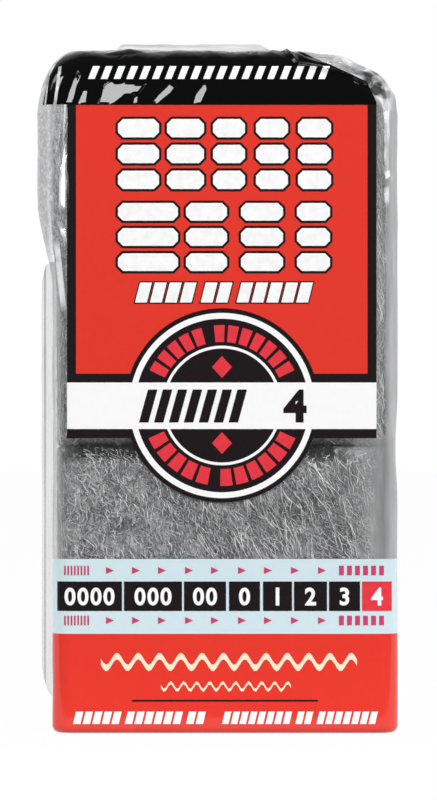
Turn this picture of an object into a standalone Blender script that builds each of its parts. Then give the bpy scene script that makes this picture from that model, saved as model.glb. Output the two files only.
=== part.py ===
"""Retail pack of steel wool pads, in metres, with +Z up and the printed front facing -Y.

A bag of clear film is welded shut around two stacks of pads. Each pad is one ribbon of steel wool, rolled flat.
The pack stands on its flat base, and the origin is the middle of that base.
"""
import math

import bmesh
import bpy

# Driving dimensions of the pads
PAD_THICKNESS = 0.0092
LAYERS = 6
RIBBON_TURNS = 5
TURN_GAP = 0.0003
LOWER_PAD_HEIGHT = 0.0866
UPPER_PAD_HEIGHT = 0.1186
SEAM_CORNER_RADIUS = 0.005
BASE_CORNER_RADIUS = 0.0024
BEND_FACETS = 3.4
STATION_SPREAD = 0.05

# Driving dimensions of the film bag
PACK_WIDTH = 0.1104
FILM_THICKNESS = 0.0003
CLEARANCE = 0.0003
TOP_SLACK = 0.0024
CORNER_RADIUS = 0.0062
BASE_FOLD_RADIUS = 0.0022
TOP_FOLD_RADIUS = 0.0090
LEFT_SHOULDER_WIDTH = 0.0120
LEFT_SHOULDER_HEIGHT = 0.0210
RIGHT_SHOULDER_WIDTH = 0.0300
RIGHT_SHOULDER_HEIGHT = 0.0175
SEAM_PINCH = 0.0007
SEAM_PINCH_REACH = 0.0100
ROOF_RISE = 0.0009
MOUTH_HALF_DEPTH = 0.0040
MOUTH_ROUNDING = 0.9
MOUTH_INSET = 0.0060
GATHER_DEPTH = 0.0013
GATHER_PITCH = 0.0140
GATHER_REACH = 0.0240
GATHER_SLANT = 0.8
GATHER_CALM = 0.75

# Driving dimensions of the welds and the vent
SIDE_WELD_WIDTH = 0.0046
SIDE_WELD_FOOT = 0.0085
SIDE_WELD_TAPER = 0.0060
BULGE_START = 0.1350
BULGE_RISE = 0.0280
TOP_WELD_START = -0.0306
TOP_WELD_END = 0.0166
TOP_WELD_REACH = 0.0110
TOP_WELD_CORNER = 0.0020
WELD_OVERLAP = 0.00018
VENT_RADIUS = 0.0030
VENT_HEIGHT = 0.1480

# Facets of the film bag
CORNER_FACETS = 4
FACE_FACETS = 16
SIDE_FACETS = 8
FOLD_FACETS = 4
ROOF_FACETS = 3
SHOULDER_FACETS = 7

# Sizes that follow from the driving dimensions
LAYER_PITCH = PAD_THICKNESS + CLEARANCE
STACK_DEPTH = LAYERS * LAYER_PITCH - CLEARANCE
PACK_DEPTH = STACK_DEPTH + 2.0 * (CLEARANCE + FILM_THICKNESS)
LOWER_PAD_BASE = FILM_THICKNESS + CLEARANCE
LOWER_PAD_TOP = LOWER_PAD_BASE + LOWER_PAD_HEIGHT
UPPER_PAD_BASE = LOWER_PAD_TOP + CLEARANCE
UPPER_PAD_TOP = UPPER_PAD_BASE + UPPER_PAD_HEIGHT
SEAM_HEIGHT = 0.5 * (LOWER_PAD_TOP + UPPER_PAD_BASE)
ROOF_EDGE_HEIGHT = UPPER_PAD_TOP + TOP_SLACK + FILM_THICKNESS
WRAP = FILM_THICKNESS + CLEARANCE
LEFT_WALL = -0.5 * PACK_WIDTH + SIDE_WELD_WIDTH
RIGHT_WALL = 0.5 * PACK_WIDTH
PAD_RIGHT = RIGHT_WALL - WRAP - SEAM_PINCH


def ease(value):
    """Smooth step from 0 to 1."""
    clamped = min(max(value, 0.0), 1.0)
    return clamped * clamped * (3.0 - 2.0 * clamped)


def corner_drop(distance, width, height):
    """How far an elliptical corner falls below its flat, at a distance in from the edge."""
    run = 1.0 - min(max(distance, 0.0), width) / width
    return height * (1.0 - math.sqrt(1.0 - run * run))


def seam_pinch(height):
    """How far the side walls draw in where the two stacks meet."""
    return SEAM_PINCH * math.exp(-((height - SEAM_HEIGHT) / SEAM_PINCH_REACH) ** 2)


def left_wall(height):
    """The film's left side: it bulges past the weld in the upper part of the pack."""
    bulge = SIDE_WELD_WIDTH * ease((height - BULGE_START) / BULGE_RISE)
    return LEFT_WALL - bulge + seam_pinch(height)


def right_wall(height):
    """The film's right side."""
    return RIGHT_WALL - seam_pinch(height)


def pad_left(height):
    """The left end of the pads: straight, then leaning out under the bulge of the film."""
    lean = SIDE_WELD_WIDTH * max(0.0, height - BULGE_START) / max(UPPER_PAD_TOP - BULGE_START, WRAP)
    return LEFT_WALL + WRAP + SEAM_PINCH - min(lean, SIDE_WELD_WIDTH)


def corner_inset(height, width, rise):
    """How far a wall has come in at a height, where its shoulder is an ellipse."""
    run = min(max((height - (ROOF_EDGE_HEIGHT - rise)) / rise, 0.0), 1.0)
    return width * (1.0 - math.sqrt(1.0 - run * run))


def plan_inset(depth, half_depth, radius):
    """How far an end stands back at a depth, where the upright corners of a section are round."""
    past_flat = min(max(abs(depth) - (half_depth - radius), 0.0), radius)
    return radius - math.sqrt(radius * radius - past_flat * past_flat)


def pad_inset(distance, depth, height, corner):
    """How far a pad's point stands in from the side wall, so that it stays inside the film's shoulder."""
    stack_inset = distance + plan_inset(depth, 0.5 * STACK_DEPTH, CORNER_RADIUS - WRAP)
    half_depth = 0.5 * PACK_DEPTH - corner_inset(height, TOP_FOLD_RADIUS, TOP_FOLD_RADIUS)
    film_inset = corner_inset(height, *corner) + plan_inset(depth, half_depth, CORNER_RADIUS)
    return max(stack_inset, film_inset + WRAP + STATION_SPREAD * distance)


def top_fold_drop(layer_offset):
    """How much lower a pad stands so that its rounded top fits under the film's folded top edge."""
    spare = max(TOP_FOLD_RADIUS - WRAP - 0.5 * PAD_THICKNESS, 0.0)
    past_flat = abs(layer_offset) - (0.5 * STACK_DEPTH - TOP_FOLD_RADIUS + WRAP)
    inside = min(max(past_flat, 0.0), spare)
    return spare - math.sqrt(spare * spare - inside * inside)


def ribbon_outline(pad_height, levels):
    """Section of a ribbon that is rolled flat, as (depth, height) points from the base up.

    The ribbon runs up and down in straight layers around its inner end, with a round bend at each turn.
    """
    pitch = PAD_THICKNESS / RIBBON_TURNS
    half = 0.5 * (pitch - TURN_GAP)
    sides = [0]
    for turn in range(1, RIBBON_TURNS):
        step = (turn + 1) // 2
        sides.append(-step if turn % 2 else step)
    bends = [0.5 * pitch * abs(after - before) for before, after in zip(sides, sides[1:])]
    top_centre = pad_height - half - max(bends[0::2], default=0.0)
    base_centre = half + max(bends[1::2], default=0.0)
    path = [(sides[0] * pitch, base_centre, 1.0, 0.0)]
    rising = True
    for turn, radius in enumerate(bends):
        middle = 0.5 * pitch * (sides[turn] + sides[turn + 1])
        start_side = 1.0 if sides[turn] > sides[turn + 1] else -1.0
        inner_levels = levels if rising else list(reversed(levels))
        for level in inner_levels:
            path.append((sides[turn] * pitch, level, 1.0 if rising else -1.0, 0.0))
        count = max(2, round(BEND_FACETS * math.sqrt(radius / pitch)))
        for step in range(count + 1):
            angle = math.pi * step / count
            across = start_side * math.cos(angle)
            along = math.sin(angle) if rising else -math.sin(angle)
            centre = top_centre if rising else base_centre
            outward = start_side if rising else -start_side
            path.append((middle + radius * across, centre + radius * along, across * outward, along * outward))
        rising = not rising
    last_side = sides[-1] * pitch
    for level in (levels if rising else list(reversed(levels))):
        path.append((last_side, level, 1.0 if rising else -1.0, 0.0))
    path.append((last_side, top_centre if rising else base_centre, 1.0 if rising else -1.0, 0.0))
    near = [(depth + half * across, height + half * along) for depth, height, across, along in path]
    far = [(depth - half * across, height - half * along) for depth, height, across, along in path]
    return near + far[::-1]


def loft(rings, name):
    """A closed mesh through rings of points, with a flat cap on the first and the last."""
    mesh = bpy.data.meshes.new(name)
    model = bmesh.new()
    levels = [[model.verts.new(point) for point in ring] for ring in rings]
    count = len(rings[0])
    for lower, upper in zip(levels, levels[1:]):
        for index in range(count):
            after = (index + 1) % count
            model.faces.new((lower[index], lower[after], upper[after], upper[index]))
    model.faces.new(levels[0][::-1])
    model.faces.new(levels[-1])
    bmesh.ops.recalc_face_normals(model, faces=model.faces)
    model.to_mesh(mesh)
    model.free()
    return mesh


def make_material(name, colour, roughness, metallic=0.0, alpha=1.0):
    """A Principled material."""
    material = bpy.data.materials.new(name)
    material.use_nodes = True
    shader = material.node_tree.nodes["Principled BSDF"]
    shader.inputs["Base Color"].default_value = (*colour, 1.0)
    shader.inputs["Roughness"].default_value = roughness
    shader.inputs["Metallic"].default_value = metallic
    shader.inputs["Alpha"].default_value = alpha
    return material


def add_object(name, mesh, material, collection):
    """An object in a collection, shaded smooth between its sharp edges."""
    mesh.shade_smooth()
    mesh.set_sharp_from_angle(angle=math.radians(40.0))
    piece = bpy.data.objects.new(name, mesh)
    piece.data.materials.append(material)
    collection.objects.link(piece)
    return piece


def stack_offset(layer):
    """Depth of a layer's middle, counted from the front."""
    return (layer + 0.5) * LAYER_PITCH - 0.5 * (STACK_DEPTH + CLEARANCE)


def end_stations(left_steps, right_steps):
    """Stations across a pad: each is a side, -1 or 1, and a distance in from that end."""
    return [(-1, step) for step in left_steps] + [(1, step) for step in reversed(right_steps)]


def pad_mesh(name, layer, base, top, stations, levels, base_corner, left_corner, right_corner):
    """A rolled pad, lofted from end to end with its corners rounded off."""
    middle = stack_offset(layer)
    height = top - base
    outline = ribbon_outline(height, [level - base for level in levels])
    rings = []
    for side, distance in stations:
        corner = left_corner if side < 0 else right_corner
        low = base + corner_drop(distance, base_corner, base_corner)
        high = top - corner_drop(distance, *corner)
        ring = []
        for depth, level in outline:
            place = low + (high - low) * level / height
            inset = pad_inset(distance, middle + depth, place, corner)
            end = pad_left(place) + inset if side < 0 else PAD_RIGHT - inset
            ring.append((end, middle + depth, place))
        rings.append(ring)
    return loft(rings, name)


def build_lower_pads(collection, material):
    """The lower stack, with a small corner at the base and a round one at the seam."""
    corner = (SEAM_CORNER_RADIUS, SEAM_CORNER_RADIUS)
    steps = (0.0, 0.3 * SEAM_CORNER_RADIUS, SEAM_CORNER_RADIUS)
    stations = end_stations(steps, steps)
    for layer in range(LAYERS):
        name = f"pad_lower_{layer + 1}"
        mesh = pad_mesh(name, layer, LOWER_PAD_BASE, LOWER_PAD_TOP, stations, [],
                        BASE_CORNER_RADIUS, corner, corner)
        add_object(name, mesh, material, collection)


def build_upper_pads(collection, material):
    """The upper stack, whose top corners follow the shoulders of the film."""
    left_corner = (LEFT_SHOULDER_WIDTH, LEFT_SHOULDER_HEIGHT)
    right_corner = (RIGHT_SHOULDER_WIDTH, RIGHT_SHOULDER_HEIGHT)
    left_steps = (0.0, 0.25 * LEFT_SHOULDER_WIDTH, LEFT_SHOULDER_WIDTH)
    right_steps = (0.0, 0.1 * RIGHT_SHOULDER_WIDTH, 0.4 * RIGHT_SHOULDER_WIDTH, RIGHT_SHOULDER_WIDTH)
    stations = end_stations(left_steps, right_steps)
    for layer in range(LAYERS):
        name = f"pad_upper_{layer + 1}"
        top = UPPER_PAD_TOP - top_fold_drop(stack_offset(layer))
        mesh = pad_mesh(name, layer, UPPER_PAD_BASE, top, stations, [BULGE_START],
                        SEAM_CORNER_RADIUS, left_corner, right_corner)
        add_object(name, mesh, material, collection)


def film_ring(left, right, half_depth, radius, height):
    """A rounded rectangle around the pack, anticlockwise from the front's left corner."""
    corners = [(left, -half_depth, 180.0), (right, -half_depth, 270.0), (right, half_depth, 0.0),
               (left, half_depth, 90.0)]
    facets = (FACE_FACETS, SIDE_FACETS, FACE_FACETS, SIDE_FACETS)
    arcs = []
    for x, y, start in corners:
        middle_x = x + radius if x == left else x - radius
        middle_y = y + radius if y < 0 else y - radius
        arc = []
        for step in range(CORNER_FACETS + 1):
            angle = math.radians(start + 90.0 * step / CORNER_FACETS)
            arc.append((middle_x + radius * math.cos(angle), middle_y + radius * math.sin(angle)))
        arcs.append(arc)
    points = []
    for index, arc in enumerate(arcs):
        points.extend(arc)
        start = arc[-1]
        end = arcs[(index + 1) % 4][0]
        for step in range(1, facets[index]):
            part = step / facets[index]
            points.append((start[0] + (end[0] - start[0]) * part, start[1] + (end[1] - start[1]) * part))
    return [(x, y, height) for x, y in points]


def gathered(point):
    """Lowers a point of the film's top in slanting pleats, which are deepest over the two shoulders."""
    x, y, height = point
    foot = ROOF_EDGE_HEIGHT - GATHER_REACH
    left_side = (x - left_wall(height)) / LEFT_SHOULDER_WIDTH
    right_side = (right_wall(height) - x) / RIGHT_SHOULDER_WIDTH
    strength = ease((height - foot) / GATHER_REACH)
    strength *= 1.0 - GATHER_CALM * ease(min(left_side, right_side))
    strength *= ease((0.5 * PACK_DEPTH - abs(y) + CORNER_RADIUS) / (TOP_FOLD_RADIUS + CORNER_RADIUS))
    strength *= ease((abs(y) - MOUTH_HALF_DEPTH) / MOUTH_HALF_DEPTH)
    phase = 2.0 * math.pi * (x + GATHER_SLANT * (height - foot)) / GATHER_PITCH
    return x, y, height - GATHER_DEPTH * strength * (0.5 + 0.5 * math.sin(phase))


def film_rings():
    """Rings of the bag from the base fold, up the walls, over the top fold and in across the roof."""
    half_depth = 0.5 * PACK_DEPTH
    rings = []
    for step in range(FOLD_FACETS):
        angle = 0.5 * math.pi * step / FOLD_FACETS
        inset = BASE_FOLD_RADIUS * (1.0 - math.sin(angle))
        height = BASE_FOLD_RADIUS * (1.0 - math.cos(angle))
        rings.append(film_ring(left_wall(height) + inset, right_wall(height) - inset, half_depth - inset,
                               CORNER_RADIUS - inset, height))
    for height in wall_heights():
        left_drop = corner_inset(height, LEFT_SHOULDER_WIDTH, LEFT_SHOULDER_HEIGHT)
        right_drop = corner_inset(height, RIGHT_SHOULDER_WIDTH, RIGHT_SHOULDER_HEIGHT)
        depth_drop = corner_inset(height, TOP_FOLD_RADIUS, TOP_FOLD_RADIUS)
        rings.append(film_ring(left_wall(height) + left_drop, right_wall(height) - right_drop,
                               half_depth - depth_drop, CORNER_RADIUS, height))
    top_left = left_wall(ROOF_EDGE_HEIGHT) + LEFT_SHOULDER_WIDTH
    top_right = right_wall(ROOF_EDGE_HEIGHT) - RIGHT_SHOULDER_WIDTH
    roof_half_depth = half_depth - TOP_FOLD_RADIUS
    for step in range(1, ROOF_FACETS + 1):
        part = step / ROOF_FACETS
        depth = roof_half_depth + (MOUTH_HALF_DEPTH - roof_half_depth) * part
        radius = min(CORNER_RADIUS, MOUTH_ROUNDING * depth)
        inset = MOUTH_INSET * part
        rings.append(film_ring(top_left + inset, top_right - inset, depth, radius,
                               ROOF_EDGE_HEIGHT + ROOF_RISE * part))
    return [[gathered(point) for point in ring] for ring in rings]


def wall_heights():
    """Heights of the rings up the walls: few on the straight part, close together on the shoulders."""
    shoulder = ROOF_EDGE_HEIGHT - max(LEFT_SHOULDER_HEIGHT, RIGHT_SHOULDER_HEIGHT)
    rise = ROOF_EDGE_HEIGHT - shoulder
    straight = [BASE_FOLD_RADIUS, SEAM_HEIGHT - SEAM_PINCH_REACH, SEAM_HEIGHT, SEAM_HEIGHT + SEAM_PINCH_REACH,
                BULGE_START, BULGE_START + 0.5 * BULGE_RISE, BULGE_START + BULGE_RISE]
    turns = [math.radians(90.0 * step / SHOULDER_FACETS) for step in range(SHOULDER_FACETS + 1)]
    curved = [shoulder + rise * math.sin(turn) for turn in turns]
    return sorted(straight) + curved


def cut_or_join(target, tool, operation):
    """Applies a Boolean to a target and removes the tool."""
    modifier = target.modifiers.new(tool.name, "BOOLEAN")
    modifier.operation = operation
    modifier.solver = "EXACT"
    modifier.object = tool
    bpy.context.view_layer.update()
    evaluated = target.evaluated_get(bpy.context.evaluated_depsgraph_get())
    mesh = bpy.data.meshes.new_from_object(evaluated)
    target.modifiers.clear()
    target.data = mesh
    bpy.data.objects.remove(tool)


def plate(name, outline, thickness, collection, to_world):
    """A flat plate from a 2D outline, as a mesh, with its points carried to the world by to_world."""
    curve = bpy.data.curves.new(name, "CURVE")
    curve.dimensions = "2D"
    curve.fill_mode = "BOTH"
    curve.extrude = 0.5 * thickness
    spline = curve.splines.new("POLY")
    spline.points.add(len(outline) - 1)
    for point, place in zip(spline.points, outline):
        point.co = (*place, 0.0, 1.0)
    spline.use_cyclic_u = True
    flat = bpy.data.objects.new(name + "_outline", curve)
    collection.objects.link(flat)
    bpy.context.view_layer.update()
    mesh = bpy.data.meshes.new_from_object(flat.evaluated_get(bpy.context.evaluated_depsgraph_get()))
    bpy.data.objects.remove(flat)
    model = bmesh.new()
    model.from_mesh(mesh)
    bmesh.ops.remove_doubles(model, verts=model.verts, dist=0.00001)
    for vertex in model.verts:
        vertex.co = to_world(*vertex.co)
    bmesh.ops.recalc_face_normals(model, faces=model.faces)
    model.to_mesh(mesh)
    model.free()
    solid = bpy.data.objects.new(name, mesh)
    collection.objects.link(solid)
    return solid


def side_weld(collection):
    """The weld down the left side: a fin of two films that tapers in at the foot and under the bulge."""
    outer = -0.5 * PACK_WIDTH
    head = BULGE_START + 0.5 * BULGE_RISE
    inner = [height for height in wall_heights() if SIDE_WELD_FOOT < height < head]
    inner_edge = [(left_wall(height) + WELD_OVERLAP, height) for height in [SIDE_WELD_FOOT, *inner, head]]
    outer_edge = [(outer, head), (outer, SIDE_WELD_FOOT + SIDE_WELD_TAPER),
                  (outer + 0.3 * SIDE_WELD_WIDTH, SIDE_WELD_FOOT + 0.3 * SIDE_WELD_TAPER)]
    return plate("side_weld", inner_edge + outer_edge, 2.0 * FILM_THICKNESS, collection,
                 lambda x, z, y: (x, y, z))


def top_weld(collection):
    """The weld across the mouth: a strip of two films, folded back over the roof."""
    corner = TOP_WELD_CORNER
    outline = [(TOP_WELD_START, -0.5 * MOUTH_HALF_DEPTH), (TOP_WELD_END, -0.5 * MOUTH_HALF_DEPTH),
               (TOP_WELD_END, TOP_WELD_REACH - corner), (TOP_WELD_END - corner, TOP_WELD_REACH),
               (TOP_WELD_START + corner, TOP_WELD_REACH), (TOP_WELD_START, TOP_WELD_REACH - corner)]
    middle = ROOF_EDGE_HEIGHT + ROOF_RISE + FILM_THICKNESS - WELD_OVERLAP
    return plate("top_weld", outline, 2.0 * FILM_THICKNESS, collection,
                 lambda x, y, z: (x, y, middle + z))


def vent_cutter(collection):
    """A cutter for the small air hole in the back."""
    mesh = bpy.data.meshes.new("vent_cutter")
    model = bmesh.new()
    bmesh.ops.create_cone(model, cap_ends=True, segments=20, radius1=VENT_RADIUS, radius2=VENT_RADIUS,
                          depth=4.0 * WRAP)
    for vertex in model.verts:
        x, y, z = vertex.co
        vertex.co = (x, 0.5 * PACK_DEPTH - z, VENT_HEIGHT + y)
    bmesh.ops.recalc_face_normals(model, faces=model.faces)
    model.to_mesh(mesh)
    model.free()
    cutter = bpy.data.objects.new("vent_cutter", mesh)
    cutter.hide_render = True
    cutter.display_type = "WIRE"
    collection.objects.link(cutter)
    return cutter


def build_film_bag(collection, cutters, material):
    """The bag: one film around the pads, with its welds joined on and the vent cut through the back."""
    bag = add_object("film_bag", loft(film_rings(), "film_bag"), material, collection)
    wall = bag.modifiers.new("film", "SOLIDIFY")
    wall.thickness = FILM_THICKNESS
    wall.offset = -1.0
    wall.use_even_offset = True
    cut_or_join(bag, vent_cutter(cutters), "DIFFERENCE")
    cut_or_join(bag, side_weld(cutters), "UNION")
    cut_or_join(bag, top_weld(cutters), "UNION")


def main():
    """Builds the whole pack."""
    for old in list(bpy.data.objects):
        bpy.data.objects.remove(old)
    pack = bpy.data.collections.new("steel_wool_pack")
    cutters = bpy.data.collections.new("cutters")
    bpy.context.scene.collection.children.link(pack)
    bpy.context.scene.collection.children.link(cutters)
    wool = make_material("steel_wool", (0.30, 0.31, 0.32), 0.42, metallic=0.85)
    film = make_material("printed_film", (0.76, 0.06, 0.04), 0.18, alpha=0.55)
    build_lower_pads(pack, wool)
    build_upper_pads(pack, wool)
    build_film_bag(pack, cutters, film)


main()
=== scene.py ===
"""Looks of a retail pack of steel wool pads: a printed film bag around two stacks of rolled pads.

Lengths are metres. Print is placed in columns and rows of the photograph's frame, which column() and row()
turn into metres on the pack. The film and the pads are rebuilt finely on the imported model's own sizes.
"""
import math

import bmesh
import bpy
import numpy as np
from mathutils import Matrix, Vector, noise
from mathutils.bvhtree import BVHTree


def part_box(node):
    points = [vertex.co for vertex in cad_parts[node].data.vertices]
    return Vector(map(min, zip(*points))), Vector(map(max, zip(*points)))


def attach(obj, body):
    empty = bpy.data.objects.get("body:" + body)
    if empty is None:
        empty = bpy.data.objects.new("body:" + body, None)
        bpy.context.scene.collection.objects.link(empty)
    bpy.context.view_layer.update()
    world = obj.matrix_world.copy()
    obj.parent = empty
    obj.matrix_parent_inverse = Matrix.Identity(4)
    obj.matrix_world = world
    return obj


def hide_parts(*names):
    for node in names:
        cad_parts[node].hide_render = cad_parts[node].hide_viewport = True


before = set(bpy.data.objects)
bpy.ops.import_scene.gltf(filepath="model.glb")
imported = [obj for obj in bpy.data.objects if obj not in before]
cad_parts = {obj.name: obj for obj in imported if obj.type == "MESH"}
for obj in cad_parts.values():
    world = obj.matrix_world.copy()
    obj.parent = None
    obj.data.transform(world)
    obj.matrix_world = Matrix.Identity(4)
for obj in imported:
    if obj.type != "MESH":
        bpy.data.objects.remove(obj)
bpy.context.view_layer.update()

# Scale of the photograph's frame
FRAME_COLUMNS = 437
FRAME_ROWS = 800
PIXEL = 0.000305
MIDDLE_COLUMN = 217.5
GROUND_ROW = 733.5

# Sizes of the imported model
BAG_LOW, BAG_HIGH = (Vector(corner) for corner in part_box("film_bag"))
UPPER_LOW, UPPER_HIGH = (Vector(corner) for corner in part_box("pad_upper_3"))
LAYERS = sum(1 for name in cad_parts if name.startswith("pad_lower_"))
PACK_WIDTH = BAG_HIGH.x - BAG_LOW.x
PACK_DEPTH = BAG_HIGH.y - BAG_LOW.y
FILM_WRAP = 0.0006
STACK_DEPTH = PACK_DEPTH - 2.0 * FILM_WRAP
PAD_GAP = 0.0003
PAD_THICKNESS = (STACK_DEPTH + PAD_GAP) / LAYERS - PAD_GAP
SEAM_HEIGHT = UPPER_LOW.z - 0.5 * PAD_GAP
SEAM_CORNER = (0.0009, 0.0009)
BASE_CORNER = (0.0024, 0.0024)
ROOF_EDGE = UPPER_HIGH.z + 0.0028
ROOF_RISE = 0.0009
CORNER_RADIUS = 0.0062
BASE_FOLD = 0.0022
TOP_FOLD = 0.0090
LEFT_SHOULDER = (0.0120, 0.0210)
RIGHT_SHOULDER = (0.0300, 0.0175)
SEAM_PINCH = 0.0007
SEAM_PINCH_REACH = 0.0100
SIDE_WELD_WIDTH = 0.0046
BULGE_START = 0.1350
BULGE_RISE = 0.0280
RIBBON_TURNS = 5
VENT_RADIUS = 0.0030
VENT_HEIGHT = 0.1480
FRONT_FACE = -0.5 * PACK_DEPTH
RIGHT_WALL = 0.5 * PACK_WIDTH
LEFT_WALL = -0.5 * PACK_WIDTH + SIDE_WELD_WIDTH

# Colours as linear light
RED = (0.760, 0.042, 0.027)
BLACK = (0.0140, 0.0098, 0.0112)
HEADER_BLACK = (0.0025, 0.0023, 0.0023)
WHITE = (0.95, 0.95, 0.95)
PALE_BLUE = (0.620, 0.765, 0.815)
PINK = (0.780, 0.045, 0.062)
MAGENTA = (0.560, 0.062, 0.150)
CREAM = (0.930, 0.800, 0.600)
CLEAR_FILM = (0.86, 0.87, 0.88)


def column(pixel):
    """X of a column of the photograph's frame."""
    return (pixel - MIDDLE_COLUMN) * PIXEL


def row(pixel):
    """Z of a row of the photograph's frame."""
    return (GROUND_ROW - pixel) * PIXEL


def line_slope(first, second):
    """Rise over run between two points of the frame."""
    return (row(second[1]) - row(first[1])) / (column(second[0]) - column(first[0]))


def line_height(x, first, second):
    """Z over each X on the line through two points of the frame."""
    slope = line_slope(first, second)
    return x * slope + (row(first[1]) - slope * column(first[0]))


def line_across(z, head, foot):
    """X at each Z on the line through two points of the frame."""
    lean = 1.0 / line_slope(foot, head)
    return z * lean + (column(foot[0]) - lean * row(foot[1]))


def ease(value):
    """Smooth step from 0 to 1, for numbers and arrays."""
    clamped = np.clip(value, 0.0, 1.0)
    return clamped * clamped * (3.0 - 2.0 * clamped)


# Form of the pack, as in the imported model
def seam_pinch(z):
    return SEAM_PINCH * np.exp(-((z - SEAM_HEIGHT) / SEAM_PINCH_REACH) ** 2)


def left_wall(z):
    return LEFT_WALL - SIDE_WELD_WIDTH * ease((z - BULGE_START) / BULGE_RISE) + seam_pinch(z)


def right_wall(z):
    return RIGHT_WALL - seam_pinch(z)


def shoulder_inset(z, width, rise):
    """How far a wall has come in at a height, where its shoulder is an ellipse."""
    run = np.clip((z - (ROOF_EDGE - rise)) / rise, 0.0, 1.0)
    return width * (1.0 - np.sqrt(1.0 - run * run))


def corner_drop(distance, width, height):
    """How far an elliptical corner falls below its flat, at a distance in from the edge."""
    run = 1.0 - np.clip(distance, 0.0, width) / width
    return height * (1.0 - np.sqrt(1.0 - run * run))


def plan_inset(y, half_depth, radius):
    """How far an end stands back at a depth, where the upright corners are round."""
    past = np.clip(np.abs(y) - (half_depth - radius), 0.0, radius)
    return radius - np.sqrt(radius * radius - past * past)


# Film bag: steps around its rings and the levels of its rings
CORNER_STEPS = 10
FRONT_STEPS = 256
BACK_STEPS = 72
SIDE_STEPS = 34
RING_STEPS = (FRONT_STEPS, SIDE_STEPS, BACK_STEPS, SIDE_STEPS)
MARGIN_LEVEL = row(330)
HEADER_LEVEL = row(112)
BASE_ANGLES = np.radians(np.linspace(0.0, 80.0, 6))
LOWER_LEVELS = np.linspace(BASE_FOLD, MARGIN_LEVEL, 40)
UPPER_LEVELS = np.linspace(MARGIN_LEVEL + 0.0008, HEADER_LEVEL, 78)
TOP_LEVELS = HEADER_LEVEL + (ROOF_EDGE - HEADER_LEVEL) * np.sin(np.radians(np.linspace(1.2, 90.0, 56)))
ROOF_SHARES = np.linspace(0.04, 1.0, 24)
MOUTH_HALF_DEPTH = 0.0010
MOUTH_INSET = 0.006


def film_ring(left, right, half_depth, radius, z):
    """A rounded rectangle around the pack, anticlockwise from the front's left corner."""
    corners = ((left, -half_depth, 180.0), (right, -half_depth, 270.0), (right, half_depth, 0.0),
               (left, half_depth, 90.0))
    arcs = []
    for x, y, start in corners:
        angles = np.radians(start + 90.0 * np.arange(CORNER_STEPS + 1) / CORNER_STEPS)
        middle_x = x + radius if x == left else x - radius
        middle_y = y + radius if y < 0 else y - radius
        arcs.append(np.stack([middle_x + radius * np.cos(angles), middle_y + radius * np.sin(angles)], 1))
    points = []
    for index, arc in enumerate(arcs):
        after = arcs[(index + 1) % 4][0]
        parts = (np.arange(1, RING_STEPS[index]) / RING_STEPS[index])[:, None]
        points += [arc, arc[-1] + (after - arc[-1]) * parts]
    flat = np.concatenate(points)
    return np.column_stack([flat, np.full(len(flat), z)])


def film_rings():
    """Rings from the base fold up the walls, over the top fold and in across the roof."""
    half_depth = 0.5 * PACK_DEPTH
    rings = []
    for angle in BASE_ANGLES:
        inset = BASE_FOLD * (1.0 - math.sin(angle))
        z = BASE_FOLD * (1.0 - math.cos(angle))
        rings.append(film_ring(left_wall(z) + inset, right_wall(z) - inset, half_depth - inset,
                               CORNER_RADIUS - inset, z))
    for z in np.concatenate([LOWER_LEVELS, UPPER_LEVELS, TOP_LEVELS]):
        rings.append(film_ring(left_wall(z) + shoulder_inset(z, *LEFT_SHOULDER),
                               right_wall(z) - shoulder_inset(z, *RIGHT_SHOULDER),
                               half_depth - shoulder_inset(z, TOP_FOLD, TOP_FOLD), CORNER_RADIUS, z))
    left = left_wall(ROOF_EDGE) + LEFT_SHOULDER[0]
    right = right_wall(ROOF_EDGE) - RIGHT_SHOULDER[0]
    edge = half_depth - TOP_FOLD
    for part in ROOF_SHARES:
        depth = edge + (MOUTH_HALF_DEPTH - edge) * part
        inset = MOUTH_INSET * part
        rings.append(film_ring(left + inset, right - inset, depth, min(CORNER_RADIUS, 0.9 * depth),
                               ROOF_EDGE + ROOF_RISE * part))
    return rings


# Slanted ends of the black header: the ink is below each line
HEADER_EDGES = (((42.5, 104), (47, 80)), ((47, 80), (56, 62)), ((56, 62), (72, 46)), ((288, 44), (334, 66)),
                ((334, 66), (367, 82)), ((367, 82), (376, 101)))
EAR_EDGES = HEADER_EDGES[3:]

# Bare lines in the header's crumpled left end, gaps in the ink that paint its light streaks: head, foot and
# width
HEADER_HIGHLIGHT_GAPS = (((48.5, 74), (45.0, 104), 1.8), ((60.0, 66), (55.0, 104), 3.0))

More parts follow.
